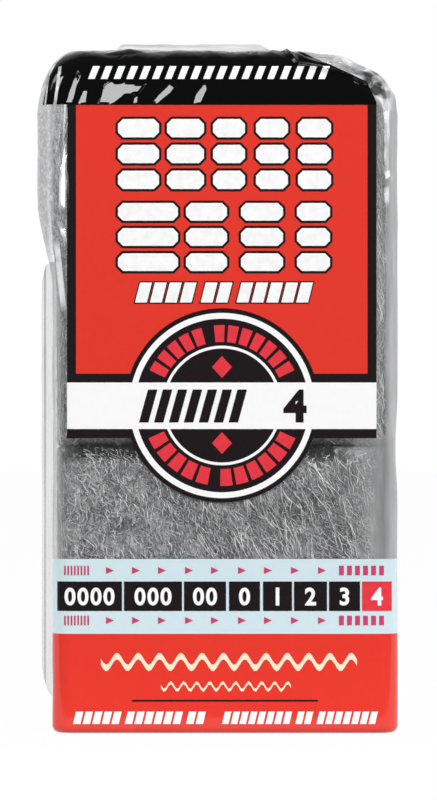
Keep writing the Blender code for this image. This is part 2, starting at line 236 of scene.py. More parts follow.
# Flat facets of the loose film: width of their soft edge in millimetres, then convex outlines in columns and
# rows. They face up and to the left.
FACET_SLOPE_ACROSS = 0.150
FACET_SLOPE_DOWN = 0.095
FRONT_FACETS = [
    (0.35, [[(65, 104.2), (75.5, 104.2), (77, 92), (82, 76), (76, 71), (69, 88)]]),
    (0.35, [[(76, 104.2), (88, 104.2), (88, 91), (83, 88)]]),
    (0.35, [[(98, 104.2), (114.5, 104.2), (122.5, 98.5), (128, 92), (112, 79), (103.5, 83.5), (100, 93)],
            [(109.5, 79), (121.5, 97), (138.5, 94), (148.5, 81), (130, 82)]]),
    (0.35, [[(132, 104.2), (139.5, 104.2), (138.5, 95), (133.5, 94)]]),
    (0.35, [[(150.5, 103.5), (158.5, 104), (171, 95), (177.5, 86), (170, 83), (159, 92), (152, 99.5)]]),
    (0.35, [[(191.5, 104.2), (202, 104.2), (209.5, 88), (203, 82.5), (194.5, 93)]]),
    (0.30, [[(118, 57), (120, 58), (127, 55), (126, 53)]]),
    (0.30, [[(248, 53), (257, 52), (257, 50), (249, 50)]]),
    (0.80, [[(63.0, 106), (67.2, 106), (67.2, 213), (60, 210), (57.0, 196), (59, 178), (61, 146)]]),
    (0.60, [[(56.0, 225), (67.2, 224), (67.2, 245)]]),
    (0.70, [[(54.5, 258), (67.2, 262), (67.2, 300), (63, 298)]]),
    (0.60, [[(60.0, 307), (67.2, 300), (67.2, 320), (61, 314)]]),
]

# Creases of the film's front: start, end, width in pixels and height in millimetres
FRONT_CREASES = [
    ((283, 44), (299, 64), 2.2, 0.9),
    ((297, 63), (346, 74), 2.4, 1.0),
    ((340, 70), (372, 84), 2.6, 0.9),
    ((300, 52), (334, 62), 2.4, -0.7),
    ((334, 60), (368, 68), 2.6, 0.8),
    ((366, 68), (392, 92), 2.8, 0.9),
    ((352, 78), (378, 96), 2.2, -0.7),
    ((370, 82), (386, 112), 2.2, 0.7),
    ((44, 112), (56, 66), 2.4, 0.15),
    ((104, 52), (150, 47), 2.4, 0.5),
    ((52, 222), (66, 246), 1.6, -0.5),
    ((50, 238), (56, 262), 1.6, 0.5),
    ((54, 258), (66, 300), 1.6, -0.5),
    ((378, 184), (397, 172), 2.0, 0.5),
    ((378, 448), (400, 446), 1.8, -0.3),
]
CREASE_SPREAD = 1.6


def facet_height(x, z):
    """Height of the flat facets at points of the front, in metres."""
    total = np.zeros_like(x)
    for softness, group in FRONT_FACETS:
        outlines = [np.array([(column(c), row(r)) for c, r in outline]) for outline in group]
        middle = np.concatenate(outlines).mean(axis=0)
        cover = np.zeros_like(x)
        for points in outlines:
            ahead = np.roll(points, -1, axis=0)
            area = np.sum(points[:, 0] * ahead[:, 1] - ahead[:, 0] * points[:, 1])
            inside = np.full_like(x, 1.0)
            for first, second in zip(points, ahead):
                run = (second - first) / np.hypot(*(second - first)) * np.sign(area)
                away = run[0] * (z - first[1]) - run[1] * (x - first[0])
                inside = np.minimum(inside, ease(1000.0 * away / softness + 0.5))
            cover = np.maximum(cover, inside)
        total += cover * (FACET_SLOPE_ACROSS * (x - middle[0]) - FACET_SLOPE_DOWN * (z - middle[1]))
    return total


def crease_height(x, z):
    """Height of the named creases at points of the front, in metres."""
    total = np.zeros_like(x)
    for head, foot, width, height in FRONT_CREASES:
        start = np.array([column(head[0]), row(head[1])])
        run = np.array([column(foot[0]), row(foot[1])]) - start
        length = np.hypot(*run)
        along = ((x - start[0]) * run[0] + (z - start[1]) * run[1]) / length ** 2
        across = ((x - start[0]) * run[1] - (z - start[1]) * run[0]) / length
        swell = np.sqrt(np.clip(4.0 * along * (1.0 - along), 0.0, 1.0))
        total += 0.001 * height * np.maximum(0.0, swell - np.abs(across) / (width * PIXEL * CREASE_SPREAD))
    return total


def crumple(points, size, octaves):
    """Ridged noise at points, about 0 to 1: sharp creases between smooth dents."""
    values = np.empty(len(points))
    for index, point in enumerate(points):
        total = 0.0
        weight = 1.0
        place = Vector(point) / size
        for _ in range(octaves):
            total += weight * (1.0 - abs(noise.noise(place)) * 2.2)
            place *= 2.1
            weight *= 0.5
        values[index] = total / 1.8
    return values


def film_shape(mesh):
    """Puts folds and creases into the film, outward along its normals."""
    points = np.empty(len(mesh.vertices) * 3)
    normals = np.empty(len(mesh.vertices) * 3)
    mesh.vertices.foreach_get("co", points)
    mesh.vertices.foreach_get("normal", normals)
    points = points.reshape(-1, 3)
    normals = normals.reshape(-1, 3)
    x, y, z = points.T
    front = ease((-normals[:, 1] - 0.05) / 0.4) + ease((normals[:, 2] - 0.3) / 0.4) * (y < 0)
    rise = (facet_height(x, z) + crease_height(x, z)) * np.clip(front, 0.0, 1.0)
    # Creased zones: the top right ear, the shoulders and roof, the upright edges and the back
    ear = np.zeros_like(x)
    for edge in EAR_EDGES:
        ear = np.maximum(ear, (z - line_height(x, *edge)) / math.hypot(1.0, line_slope(*edge)))
    ear = ease(ear / 0.0012) * ease((x - column(290)) / 0.004) * ease((z - row(116)) / 0.004)
    top = ease((z - row(70)) / 0.008)
    upright = ease((np.abs(x) - 0.047) / 0.005) * (1.0 - front * (z < row(556)))
    back = ease((y - 0.006) / 0.01)
    small = crumple(points * np.array([1.0, 1.0, 0.55]), 0.0125, 3)
    broad = crumple(points[:, [2, 0, 1]] * np.array([0.8, 1.2, 1.0]), 0.0150, 1)
    rise += (0.0007 * (small - 0.62) + 0.0022 * (broad - 0.62)) * ear
    rise += 0.0006 * (small - 0.62) * top * (1.0 - ear)
    rise += np.where(x > 0.0, 0.0002, 0.0004) * (small - 0.55) * np.clip(upright, 0.0, 1.0) * (1.0 - ear)
    rise += 0.0005 * (small - 0.5) * back
    wall = ease((z - 0.004) / 0.006)
    points += normals * (rise * wall)[:, None]
    mesh.vertices.foreach_set("co", points.ravel())
    mesh.update()


def new_mesh(name, points, faces):
    mesh = bpy.data.meshes.new(name)
    mesh.from_pydata([tuple(point) for point in points], [], [tuple(face) for face in faces])
    mesh.validate()
    return mesh


def new_piece(name, mesh, materials, smooth=True):
    """A piece of the object that rides on the body and takes its finish from a slot."""
    if smooth:
        mesh.shade_smooth()
    for material in materials:
        mesh.materials.append(material)
    piece = bpy.data.objects.new(name, mesh)
    bpy.context.scene.collection.objects.link(piece)
    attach(piece, "root")
    return piece


def sheet_faces(lines, count, closed):
    """Faces between lines of points, one line after another."""
    faces = []
    for low in range(0, (lines - 1) * count, count):
        for index in range(count if closed else count - 1):
            after = (index + 1) % count
            faces.append((low + index, low + after, low + count + after, low + count + index))
    return faces


# The vent's points are drawn to its edge between these shares of its radius, and cut away inside the first
VENT_DRAW = (0.72, 1.5)


def cut_vent(mesh):
    """Opens the round air hole in the back by pulling the film's points to its edge."""
    model = bmesh.new()
    model.from_mesh(mesh)
    middle = Vector((0.0, 0.5 * PACK_DEPTH, VENT_HEIGHT))
    inner, outer = (share * VENT_RADIUS for share in VENT_DRAW)
    cut = []
    for vertex in model.verts:
        if vertex.co.y < 0.4 * PACK_DEPTH:
            continue
        away = vertex.co - middle
        away.y = 0.0
        if away.length < inner:
            cut.append(vertex)
        elif away.length < outer:
            pull = min(1.0, (outer - away.length) / (outer - inner)) ** 2
            target = middle + away.normalized() * VENT_RADIUS
            vertex.co.x += (target.x - vertex.co.x) * pull
            vertex.co.z += (target.z - vertex.co.z) * pull
    bmesh.ops.delete(model, geom=cut, context="VERTS")
    model.to_mesh(mesh)
    model.free()


def build_film(material):
    """The bag's film, with its air hole."""
    rings = film_rings()
    count = len(rings[0])
    top = (len(rings) - 1) * count
    faces = sheet_faces(len(rings), count, True)
    faces += [tuple(reversed(range(count))), tuple(range(top, top + count))]
    mesh = new_mesh("film_bag_skin", np.concatenate(rings), faces)
    film_shape(mesh)
    cut_vent(mesh)
    piece = new_piece("film_bag_skin", mesh, [material])
    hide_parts("film_bag")
    return piece


def weld_strip(name, lines, material):
    """A strip of welded film through lines of points."""
    points = [point for line in lines for point in line]
    faces = sheet_faces(len(lines), len(lines[0]), False)
    return new_piece(name, new_mesh(name, points, faces), [material])


def side_weld_lines(steps=8, levels=120):
    """The fin of welded film down the left side."""
    foot = row(703)
    head = row(262)
    lines = []
    for level in range(levels + 1):
        part = level / levels
        z = foot + (head - foot) * part
        taper = math.sqrt(min(1.0, part / 0.07)) * math.sqrt(min(1.0, (1.0 - part) / 0.05 + 0.25))
        inner = float(left_wall(z)) - 0.00005
        width = (column(38.6) - inner) * taper + 0.00035 * noise.noise(Vector((0.0, 0.0, z * 60.0)))
        line = []
        for step in range(steps + 1):
            share = step / steps
            ripple = 0.0011 * share * noise.noise(Vector((share * 1.5, 3.0, z * 45.0)))
            line.append((inner + width * share, -0.001 + ripple, z))
        lines.append(line)
    return lines


def top_weld_lines(steps=16, stations=96):
    """The welded mouth of the bag, a strip that stands a little and lies back over the roof."""
    start = column(112)
    end = column(276)
    lines = []
    for index in range(stations + 1):
        part = index / stations
        x = start + (end - start) * part
        ends = float(ease(part / 0.06) * ease((1.0 - part) / 0.10))
        wave = 0.0006 * noise.noise(Vector((x * 90.0, 1.0, 0.0)))
        line = []
        for step in range(steps + 1):
            share = step / steps
            turn = 0.5 * math.pi * min(1.0, share / 0.25)
            back = max(0.0, share - 0.25)
            y = 0.0002 + 0.0008 * (1.0 - math.cos(turn)) + 0.0095 * back / 0.75
            ripple = wave * share + 0.0003 * noise.noise(Vector((x * 160.0, y * 300.0, 5.0)))
            height = (0.0022 * math.sin(turn) + ripple) * ends - 0.0006 * back
            line.append((x, -0.010 + y, ROOF_EDGE + 0.0004 + height))
        lines.append(line)
    return lines


# Steel wool pads
STRAND_STEPS = 4
CORE_SHARE = 0.30
CORE_SHARE_AT_ENDS = 0.50
CORE_PARTS = np.array([0.0, 0.004, 0.012, 0.03])
STRAND_RADIUS = (0.00006, 0.00015)
STRAND_TIP = 0.35
# Strands at each end of a pad that lie over the gap to the next pad
GAP_STRANDS = 60


class Pad:
    """Place of one pad: maps points of a flat rolled pad into the stack."""

    def __init__(self, upper, layer):
        self.upper = upper
        self.layer = layer
        self.name = f"pad_{'upper' if upper else 'lower'}_{layer + 1}"
        low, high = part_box(self.name)
        self.middle = 0.5 * (low[1] + high[1])
        self.base = SEAM_HEIGHT if upper else FILM_WRAP
        self.top = high[2] if upper else SEAM_HEIGHT
        self.height = self.top - self.base
        self.width = PACK_WIDTH - SIDE_WELD_WIDTH - 2.0 * FILM_WRAP
        self.base_corner = SEAM_CORNER if upper else BASE_CORNER
        self.left_corner = LEFT_SHOULDER if upper else SEAM_CORNER
        self.right_corner = RIGHT_SHOULDER if upper else SEAM_CORNER

    def place(self, part, depth, level):
        """World points from a share across the pad, a depth from its middle and a level above its base."""
        part, depth, level = np.broadcast_arrays(part, depth, level)
        from_left = part * self.width
        from_right = (1.0 - part) * self.width
        low = self.base + corner_drop(from_left, *self.base_corner)
        low = low + corner_drop(from_right, *self.base_corner)
        high = self.top - corner_drop(from_left, *self.left_corner)
        high = high - corner_drop(from_right, *self.right_corner)
        z = low + (high - low) * level / self.height
        y = self.middle + depth
        lean = SIDE_WELD_WIDTH * np.clip((z - BULGE_START) / (BULGE_RISE * 1.6), 0.0, 1.0)
        left = LEFT_WALL + FILM_WRAP + SEAM_PINCH - lean * 0.85 + self.end_inset(y, z, self.left_corner)
        right = RIGHT_WALL - FILM_WRAP - SEAM_PINCH - self.end_inset(y, z, self.right_corner)
        return np.stack([left + (right - left) * part, y, z], -1)

    def end_inset(self, y, z, corner):
        stack = plan_inset(y, 0.5 * STACK_DEPTH, CORNER_RADIUS - FILM_WRAP)
        half_depth = 0.5 * PACK_DEPTH - shoulder_inset(z, TOP_FOLD, TOP_FOLD)
        film = shoulder_inset(z, *corner) * self.upper + plan_inset(y, half_depth, CORNER_RADIUS)
        return np.maximum(stack, film)


def ribbon_path(height, straight_steps=12, bend_steps=7):
    """Middle line of a ribbon rolled flat: depth, level and outward normal at each point."""
    pitch = PAD_THICKNESS / RIBBON_TURNS
    sides = [0]
    for turn in range(1, RIBBON_TURNS):
        step = (turn + 1) // 2
        sides.append(-step if turn % 2 else step)
    radii = [0.5 * pitch * abs(after - before) for before, after in zip(sides, sides[1:])]
    top = height - 0.5 * pitch - max(radii[0::2])
    base = 0.5 * pitch + max(radii[1::2])
    path = []
    for turn, side in enumerate(sides):
        upward = -1.0 if turn % 2 else 1.0
        for level in np.linspace(base, top, straight_steps)[::int(upward)]:
            path.append((side * pitch, level, upward, 0.0))
        if turn == len(radii):
            break
        middle = 0.5 * pitch * (side + sides[turn + 1])
        start = 1.0 if side > sides[turn + 1] else -1.0
        outward = start * upward
        for step in range(1, bend_steps):
            angle = math.pi * step / bend_steps
            across = start * math.cos(angle)
            along = upward * math.sin(angle)
            centre = top if upward > 0.0 else base
            path.append((middle + radii[turn] * across, centre + radii[turn] * along, across * outward,
                         along * outward))
    return np.array(path)


def pad_body(pad):
    """Points and faces of a rolled pad's dense core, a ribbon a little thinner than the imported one."""
    path = ribbon_path(pad.height)
    parts = np.concatenate([0.010 + CORE_PARTS, np.linspace(0.07, 0.93, 20), 0.990 - CORE_PARTS[::-1]])
    rings = []
    for part in parts:
        flare = 1.0 - ease((min(part, 1.0 - part) - 0.020) / 0.030)
        share = CORE_SHARE + (CORE_SHARE_AT_ENDS - CORE_SHARE) * flare
        half = share * PAD_THICKNESS / RIBBON_TURNS
        near = path[:, :2] + half * path[:, 2:]
        far = path[:, :2] - half * path[:, 2:]
        outline = np.concatenate([near, far[::-1]])
        outline[:, 1] -= outline[:, 1].min()
        outline[:, 1] *= pad.height / outline[:, 1].max()
        ring = pad.place(part, outline[:, 0], outline[:, 1])
        for point in ring:
            place = Vector(point)
            point[1] += 0.00040 * noise.noise(place * 230.0) - 0.00010
            point[0] += 0.0006 * noise.noise(place * 190.0 + Vector((9.0, 0.0, 0.0)))
        rings.append(ring)
    count = len(outline)
    faces = [(face[0], *face[:0:-1]) for face in sheet_faces(len(rings), count, True)]
    last = (len(rings) - 1) * count
    for index in range(count // 2 - 1):
        other = count - 1 - index
        faces.append((index, index + 1, other - 1, other))
        faces.append((last + index, last + other, last + other - 1, last + index + 1))
    return np.concatenate(rings), faces


def outer_section(pad, s):
    """Depth, level and normal at a length s around the pad's outer turn, from the front's foot upwards."""
    radius = 0.5 * PAD_THICKNESS
    straight = pad.height - 2.0 * radius
    bend = math.pi * radius
    s = np.mod(s, 2.0 * (straight + bend))
    turn_top = np.clip((s - straight) / radius, 0.0, math.pi)
    turn_base = np.clip((s - 2.0 * straight - bend) / radius, 0.0, math.pi)
    angle = turn_top + turn_base
    down = straight - np.clip(s - straight - bend, 0.0, straight)
    climb = np.where(s > straight + bend, down, np.clip(s, 0.0, straight))
    normal = np.stack([-np.cos(angle), np.sin(angle)], -1)
    return radius * normal[..., 0], radius + climb + radius * normal[..., 1], normal


def walk(rng, count, length, heading, wander):
    """Random walks: arrays of steps along and across, for strands of given lengths and headings."""
    turns = rng.normal(0.0, 1.0, (count, STRAND_STEPS)) * wander[:, None]
    angles = heading[:, None] + np.cumsum(turns, axis=1) - 0.5 * turns.sum(1)[:, None]
    stride = (length / STRAND_STEPS)[:, None]
    middle = STRAND_STEPS // 2
    moves = []
    for part in (np.cos(angles), np.sin(angles)):
        run = np.concatenate([np.zeros((count, 1)), np.cumsum(part * stride, axis=1)], axis=1)
        moves.append(run - run[:, middle:middle + 1])
    return moves


def face_strands(pad, rng, count, s_low, s_high, part_low, part_high, lift, length, heading, wander):
    """Paths of strands that lie on the pad's outer turn, mostly along the roll."""
    lengths = rng.uniform(*length, count)
    headings = rng.normal(-heading, 0.26, count)
    curly = rng.random(count) < 0.18
    headings = np.where(curly, rng.uniform(-math.pi, math.pi, count), headings)
    lengths = np.where(curly, lengths * 0.5, lengths)
    along, across = walk(rng, count, lengths, headings, np.where(curly, 0.6, wander))
    s = rng.uniform(s_low, s_high, count)[:, None] + along
    part = rng.uniform(part_low, part_high, count)[:, None] + across / pad.width
    height = rng.uniform(*lift, count)[:, None] + rng.normal(0.0, 0.00026, (count, STRAND_STEPS + 1))
    height = np.clip(height, *lift)
    depth, level, normal = outer_section(pad, s)
    depth = depth + normal[..., 0] * height
    level = level + normal[..., 1] * height
    return pad.place(np.clip(part, 0.002, 0.998), depth, level)


def end_strands(pad, rng, count, side):
    """Paths of strands over one end of the roll, mostly along the ribbon's edge."""
    path = ribbon_path(pad.height)
    limit = 0.5 * PAD_THICKNESS
    over_gap = np.arange(count) < GAP_STRANDS
    pick = rng.integers(0, len(path), count)
    straight = rng.uniform(0.03, 0.97, count) * pad.height
    on_bend = (rng.random(count) < 0.25) & ~over_gap
    level = np.where(on_bend, path[pick, 1], straight)
    depth = np.where(over_gap, limit, path[pick, 0] + rng.normal(0.0, 0.0004, count))
    lengths = rng.uniform(0.008, 0.026, count)
    headings = rng.normal(0.0, 0.35, count)
    curly = rng.random(count) < 0.3
    headings = np.where(curly, rng.uniform(-math.pi, math.pi, count), headings)
    along, across = walk(rng, count, lengths, headings, np.where(curly, 0.6, 0.25))
    level = np.clip(level[:, None] + along, 0.0004, pad.height - 0.0004)
    depth = np.clip(depth[:, None] + across, -limit, limit + PAD_GAP)
    inward = rng.uniform(0.0001, 0.0016, count)[:, None] + rng.normal(0.0, 0.0002, (count, STRAND_STEPS + 1))
    share = np.clip(inward, 0.0, 0.01) / pad.width
    return pad.place(share if side < 0 else 1.0 - share, depth, level)


def tubes(paths, radii):
    """Three-sided tubes along paths, tapered at both ends, as points and faces."""
    count, steps, _ = paths.shape
    tangent = np.gradient(paths, axis=1)
    tangent /= np.linalg.norm(tangent, axis=2, keepdims=True) + 1e-12
    guide = np.where(np.abs(tangent[..., :1]) > 0.8, np.array([0.0, 1.0, 0.0]), np.array([1.0, 0.0, 0.0]))
    first = np.cross(tangent, guide)
    first /= np.linalg.norm(first, axis=2, keepdims=True) + 1e-12
    second = np.cross(tangent, first)
    taper = np.full(steps, 1.0)
    taper[0] = taper[-1] = STRAND_TIP
    size = radii[:, None, None] * taper[None, :, None]
    corners = []
    for side in range(3):
        angle = 2.0 * math.pi * side / 3.0
        corners.append(paths + size * (math.cos(angle) * first + math.sin(angle) * second))
    points = np.stack(corners, 2).reshape(-1, 3)
    base = (np.arange(count) * steps * 3)[:, None, None]
    ring = base + (np.arange(steps - 1) * 3)[None, :, None]
    side = np.arange(3)[None, None, :]
    after = (side + 1) % 3
    quads = np.stack([ring + side, ring + after, ring + 3 + after, ring + 3 + side], -1)
    start = base[:, 0, 0]
    end = start + (steps - 1) * 3
    heads = np.stack([start + 2, start + 1, start], -1)
    tails = np.stack([end, end + 1, end + 2], -1)
    return points, quads.reshape(-1, 4), np.concatenate([heads, tails])


LOOSE_LIFT = (-0.0008, 0.00030)
SUNK_LIFT = (-0.0006, 0.0)


def strand_plan(pad):
    """Bands of strands for a pad, thickest where the film is clear.

    Each is a count, two lengths around the outer turn, two shares across, the lift off the roll, the strands'
    length, heading and wander, and the share of bright ones, coloured near white as painted highlights.
    """
    radius = 0.5 * PAD_THICKNESS
    straight = pad.height - 2.0 * radius
    bend = math.pi * radius
    loose = LOOSE_LIFT
    sunk = SUNK_LIFT
    if pad.layer == 0 and not pad.upper:
        clear = row(566) - pad.base - radius
        seam = straight + 0.08 * bend
        return [
            (2650, clear, seam, 0.0, 0.5, loose, (0.0012, 0.0050), 0.40, 0.36, 0.18),
            (2650, clear, seam, 0.45, 1.0, loose, (0.0015, 0.0075), 0.58, 0.30, 0.06),
            (170, clear, seam, 0.40, 1.0, (0.0001, 0.0003), (0.004, 0.009), 0.55, 0.16, 1.0),
            (320, straight - 0.001, straight + 0.45 * bend, 0.0, 1.0, (-0.0002, 0.0003), (0.0015, 0.005), 0.5,
             0.7, 0.90),
            (420, seam, straight + 0.5 * bend, 0.0, 1.0, sunk, (0.003, 0.012), 0.5, 0.5, 0.1),
            (200, -0.4 * bend, clear, 0.0, 1.0, loose, (0.02, 0.04), 0.3, 0.2, 0.05),
        ]
    if pad.layer == 0:
        return [
            (420, -0.5 * bend, -0.1 * bend, 0.0, 1.0, sunk, (0.003, 0.012), 0.2, 0.35, 0.1),
            (620, -0.4 * bend, 0.006, 0.0, 1.0, loose, (0.002, 0.008), 0.3, 0.5, 0.20),
            (1500, 0.0, straight + 0.6 * bend, 0.0, 0.075, loose, (0.003, 0.011), 0.1, 0.50, 0.18),
            (1100, 0.0, straight + 0.6 * bend, 0.925, 1.0, loose, (0.004, 0.014), 0.15, 0.35, 0.10),
            (240, 0.0, straight, 0.08, 0.92, loose, (0.02, 0.04), 0.2, 0.2, 0.0),
        ]
    if pad.layer == LAYERS - 1:
        count = 2300 if pad.upper else 1800
        end = 2.0 * straight + 1.6 * bend
        return [(count, straight + 0.4 * bend, end, 0.0, 1.0, loose, (0.014, 0.034), 0.3, 0.16, 0.06)]
    return [(150, straight, straight + bend, 0.0, 1.0, loose, (0.010, 0.026), 0.3, 0.3, 0.05)]


def build_pad(pad, materials):
    """One pad: its rolled core with loose strands over what can be seen of it."""
    rng = np.random.default_rng(101 * (pad.layer + 1) + (7 if pad.upper else 0))
    points, faces = pad_body(pad)
    bands = strand_plan(pad)
    paths = [face_strands(pad, rng, *band[:-1]) for band in bands]
    shares = [np.full(band[0], band[-1]) for band in bands]
    for side in (-1, 1):
        paths.append(end_strands(pad, rng, 300 if pad.upper else 230, side))
        shares.append(np.full(len(paths[-1]), 0.10))
    paths = np.concatenate(paths)
    # strands picked here take the near-white colour of painted highlights
    painted_highlight = rng.random(len(paths)) < np.concatenate(shares)
    tube_points, quads, caps = tubes(paths, rng.uniform(*STRAND_RADIUS, len(paths)))
    shift = len(points)
    mesh = bpy.data.meshes.new("wool_" + pad.name)
    mesh.from_pydata(np.concatenate([points, tube_points]).tolist(), [],
                     faces + (quads + shift).tolist() + (caps + shift).tolist())
    tube_slots = 1 + painted_highlight.astype(np.int32)
    core_slots = np.zeros(len(faces), dtype=np.int32)
    slots = np.concatenate([core_slots, np.repeat(tube_slots, 3 * STRAND_STEPS), np.tile(tube_slots, 2)])
    mesh.polygons.foreach_set("material_index", slots)
    piece = new_piece("wool_" + pad.name, mesh, materials)
    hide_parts(pad.name)
    return piece


# Materials
class Number:
    """A number that varies over a surface, with shader nodes for its arithmetic."""

    def __init__(self, nodes, socket):
        self.nodes = nodes
        self.socket = socket

    def __add__(self, other):
        return self.nodes.math("ADD", self, other)

    def __sub__(self, other):
        return self.nodes.math("SUBTRACT", self, other)

    def __rsub__(self, other):
        return self.nodes.math("SUBTRACT", other, self)

    def __mul__(self, other):
        return self.nodes.math("MULTIPLY", self, other)

    def __truediv__(self, other):
        return self.nodes.math("DIVIDE", self, other)

    def __pow__(self, other):
        return self.nodes.math("POWER", self, other)

    def __gt__(self, other):
        return self.nodes.math("GREATER_THAN", self, other)

    def __lt__(self, other):
        return self.nodes.math("LESS_THAN", self, other)

    def __abs__(self):
        return self.nodes.math("ABSOLUTE", self)

    def most(self, other):
        return self.nodes.math("MAXIMUM", self, other)

    def fit(self, scale, shift):
        """Scaled, shifted and kept from 0 to 1."""
        return self.nodes.math("MULTIPLY_ADD", self, scale, shift, clamp=True)

    def rise(self, start, slope):
        """From 0 at a start up to 1, or down from it where the slope is negative."""
        return self.fit(slope, -slope * start)


class Nodes:
    """Short names for making and joining the shader nodes of a material or world."""

    def __init__(self, owner):
        owner.use_nodes = True
        self.owner = owner
        self.tree = owner.node_tree
        self.tree.nodes.clear()

    def add(self, kind, inputs=(), **settings):
        """A node with its settings, and with inputs given in their order or by name."""
        node = self.tree.nodes.new(kind)
        for key, value in settings.items():
            setattr(node, key, value)
        for key, value in inputs.items() if isinstance(inputs, dict) else enumerate(inputs):
            self.set(node.inputs[key], value)
        return node

    def set(self, socket, value):
        if isinstance(value, Number):
            value = value.socket
        if isinstance(value, bpy.types.NodeSocket):
            self.tree.links.new(value, socket)
        else:
            socket.default_value = (*value, 1.0) if socket.type == "RGBA" else value

    def math(self, operation, *values, clamp=False):
        node = self.add("ShaderNodeMath", values, operation=operation, use_clamp=clamp)
        return Number(self, node.outputs[0])

    def place(self, stretch=None):
        """The surface's own point, or that point stretched."""
        point = self.add("ShaderNodeTexCoord").outputs["Object"]
        if stretch is None:
            return point
        return self.add("ShaderNodeMapping", {"Vector": point, "Scale": stretch}).outputs["Vector"]

    def axes(self):
        return [Number(self, socket) for socket in self.add("ShaderNodeSeparateXYZ", (self.place(),)).outputs]

    def noise(self, scale, detail=3.0, roughness=0.5, distortion=0.0, stretch=None):
        node = self.add("ShaderNodeTexNoise", {"Vector": self.place(stretch), "Scale": scale,
                                               "Detail": detail, "Roughness": roughness,
                                               "Distortion": distortion})
        return Number(self, node.outputs["Fac"])

    def mix(self, part, first, second):
        return self.add("ShaderNodeMix", {"Factor": part, "A": first, "B": second},
                        data_type="RGBA").outputs["Result"]

    def scaled(self, colour, amount):
        return self.add("ShaderNodeVectorMath", {0: colour, "Scale": amount}, operation="SCALE").outputs[0]

    def ramp(self, value, *stops):
        node = self.add("ShaderNodeValToRGB", (value,))
        while len(node.color_ramp.elements) < len(stops):
            node.color_ramp.elements.new(0.5)
        for element, (place, colour) in zip(node.color_ramp.elements, stops):
            element.position = place
            element.color = (*colour, 1.0)
        return node.outputs["Color"]

    def bump(self, height, strength, distance):
        return self.add("ShaderNodeBump", {"Height": height, "Strength": strength,
                                           "Distance": distance}).outputs["Normal"]

    def thin_gloss(self, **normal):
        """Share of light that a thin film reflects, the same from both of its sides."""
        node = self.add("ShaderNodeLayerWeight", {"Blend": 0.5, **normal})
        return Number(self, node.outputs["Facing"]) ** 5.0 * 0.50 + 0.05

    def principled(self, **inputs):
        named = {key.replace("_", " "): value for key, value in inputs.items()}
        return self.add("ShaderNodeBsdfPrincipled", named).outputs[0]

    def blend(self, part, first, second):
        return self.add("ShaderNodeMixShader", (part, first, second)).outputs[0]

    def thin(self, solid, surface):
        """A surface that can be seen through where it isn't solid."""
        return self.blend(solid, self.add("ShaderNodeBsdfTransparent").outputs[0], surface)

    def finish(self, shader, output="ShaderNodeOutputMaterial"):
        self.tree.links.new(shader, self.add(output).inputs["Surface"])
        return self.owner


def material_nodes(name):
    return Nodes(bpy.data.materials.new(name))


# Print: how far back it reaches on the sides, and the roundel's middle and rings
PRINT_WRAP = 0.010
FOOTER_WRAP = 0.0165
ROUNDEL = (222.0, 405.5)
ROUNDEL_EDGE = 97.3
ROUNDEL_RINGS = ((86.8, 92.6), (57.0, 59.8))


def print_fields(nodes, x, y, z):
    """Colour and cover of the print: plain fields, borders and rings at their places on the front."""
    def field(left, right, top, foot):
        return (x > column(left)) * (x < column(right)) * ((z > row(foot)) * (z < row(top)))

    away_x = x - column(ROUNDEL[0])
    away_z = z - row(ROUNDEL[1])
    distance = nodes.math("SQRT", away_x * away_x + away_z * away_z)
    header = field(40.5, 376.5, -100.0, 104.5)
    for edge in HEADER_EDGES:
        header = header * (z < line_height(x, *edge))
    # painted highlight: the black ink is left out along the header's light streaks
    for head, foot, width in HEADER_HIGHLIGHT_GAPS:
        beside = abs(x - line_across(z, head, foot)) > 0.5 * width * PIXEL
        header = header * beside.most(z > row(head[1]))
    front = y < FRONT_FACE + PRINT_WRAP
    wrap = y < FRONT_FACE + FOOTER_WRAP
    steps = [
        (header * (y < -0.006), HEADER_BLACK),
        (field(67.0, 376.5, 104.5, 382.5) * front, BLACK),
        (field(76.0, 367.5, 105.0, 373.7) * front, RED),
        (field(67.0, 376.5, 429.0, 438.3) * front, BLACK),
        ((distance < ROUNDEL_EDGE * PIXEL) * front, BLACK),
    ]
    for inner, outer in ROUNDEL_RINGS:
        steps.append(((distance > inner * PIXEL) * (distance < outer * PIXEL) * front, WHITE))
    steps += [
        (field(67.0, 376.5, 382.5, 429.0) * front, WHITE),
        (field(-50.0, 500.0, 559.0, 633.8) * wrap, PALE_BLUE),
        (field(-50.0, 500.0, 633.8, 760.0) * wrap, RED),
    ]
    colour = CLEAR_FILM
    cover = steps[0][0]
    for mask, ink in steps:
        colour = nodes.mix(mask, colour, ink)
        cover = cover.most(mask)
    return colour, cover


# Bands of painted highlight, milky white, on the slack film beside the label: head, foot and width
PAINTED_GLARE_BANDS = (((65.4, 94), (62.0, 212), 3.2), ((62.8, 170), (61.8, 212), 7.5),
               ((58.0, 220), (67.0, 245), 4.8), ((56.0, 238), (64.0, 312), 6.8))
# Cloudy strips of the film at the front's corners, greyed with painted shade: column where each starts, its
# slope, the rows of its head and foot, where one past the frame sets no limit, and how cloudy, how dark and
# how grainy it is
CLOUDY_SHADED_STRIPS = (
    (384.0, 260.0, -100.0, 900.0, 0.78, 0.55, 0.0),
    (63.0, -260.0, 262.0, 900.0, 0.78, 0.55, 0.0),
    (352.0, 95.0, 438.0, 900.0, 0.34, 0.52, 0.0),
    (54.0, -400.0, -100.0, 262.0, 0.86, 0.42, 0.28),
)


def painted_glare_bands(x, z):
    """How much painted highlight, as milky haze, the film has along the named bands."""
    painted_glare = None
    for head, foot, width in PAINTED_GLARE_BANDS:
        band = abs(x - line_across(z, head, foot)).rise(0.5 * width * PIXEL, -2600.0)
        band = band * (z.rise(row(foot[1]), 260.0) * z.rise(row(head[1]), -260.0))
        painted_glare = painted_glare.most(band) if painted_glare else band
    return painted_glare


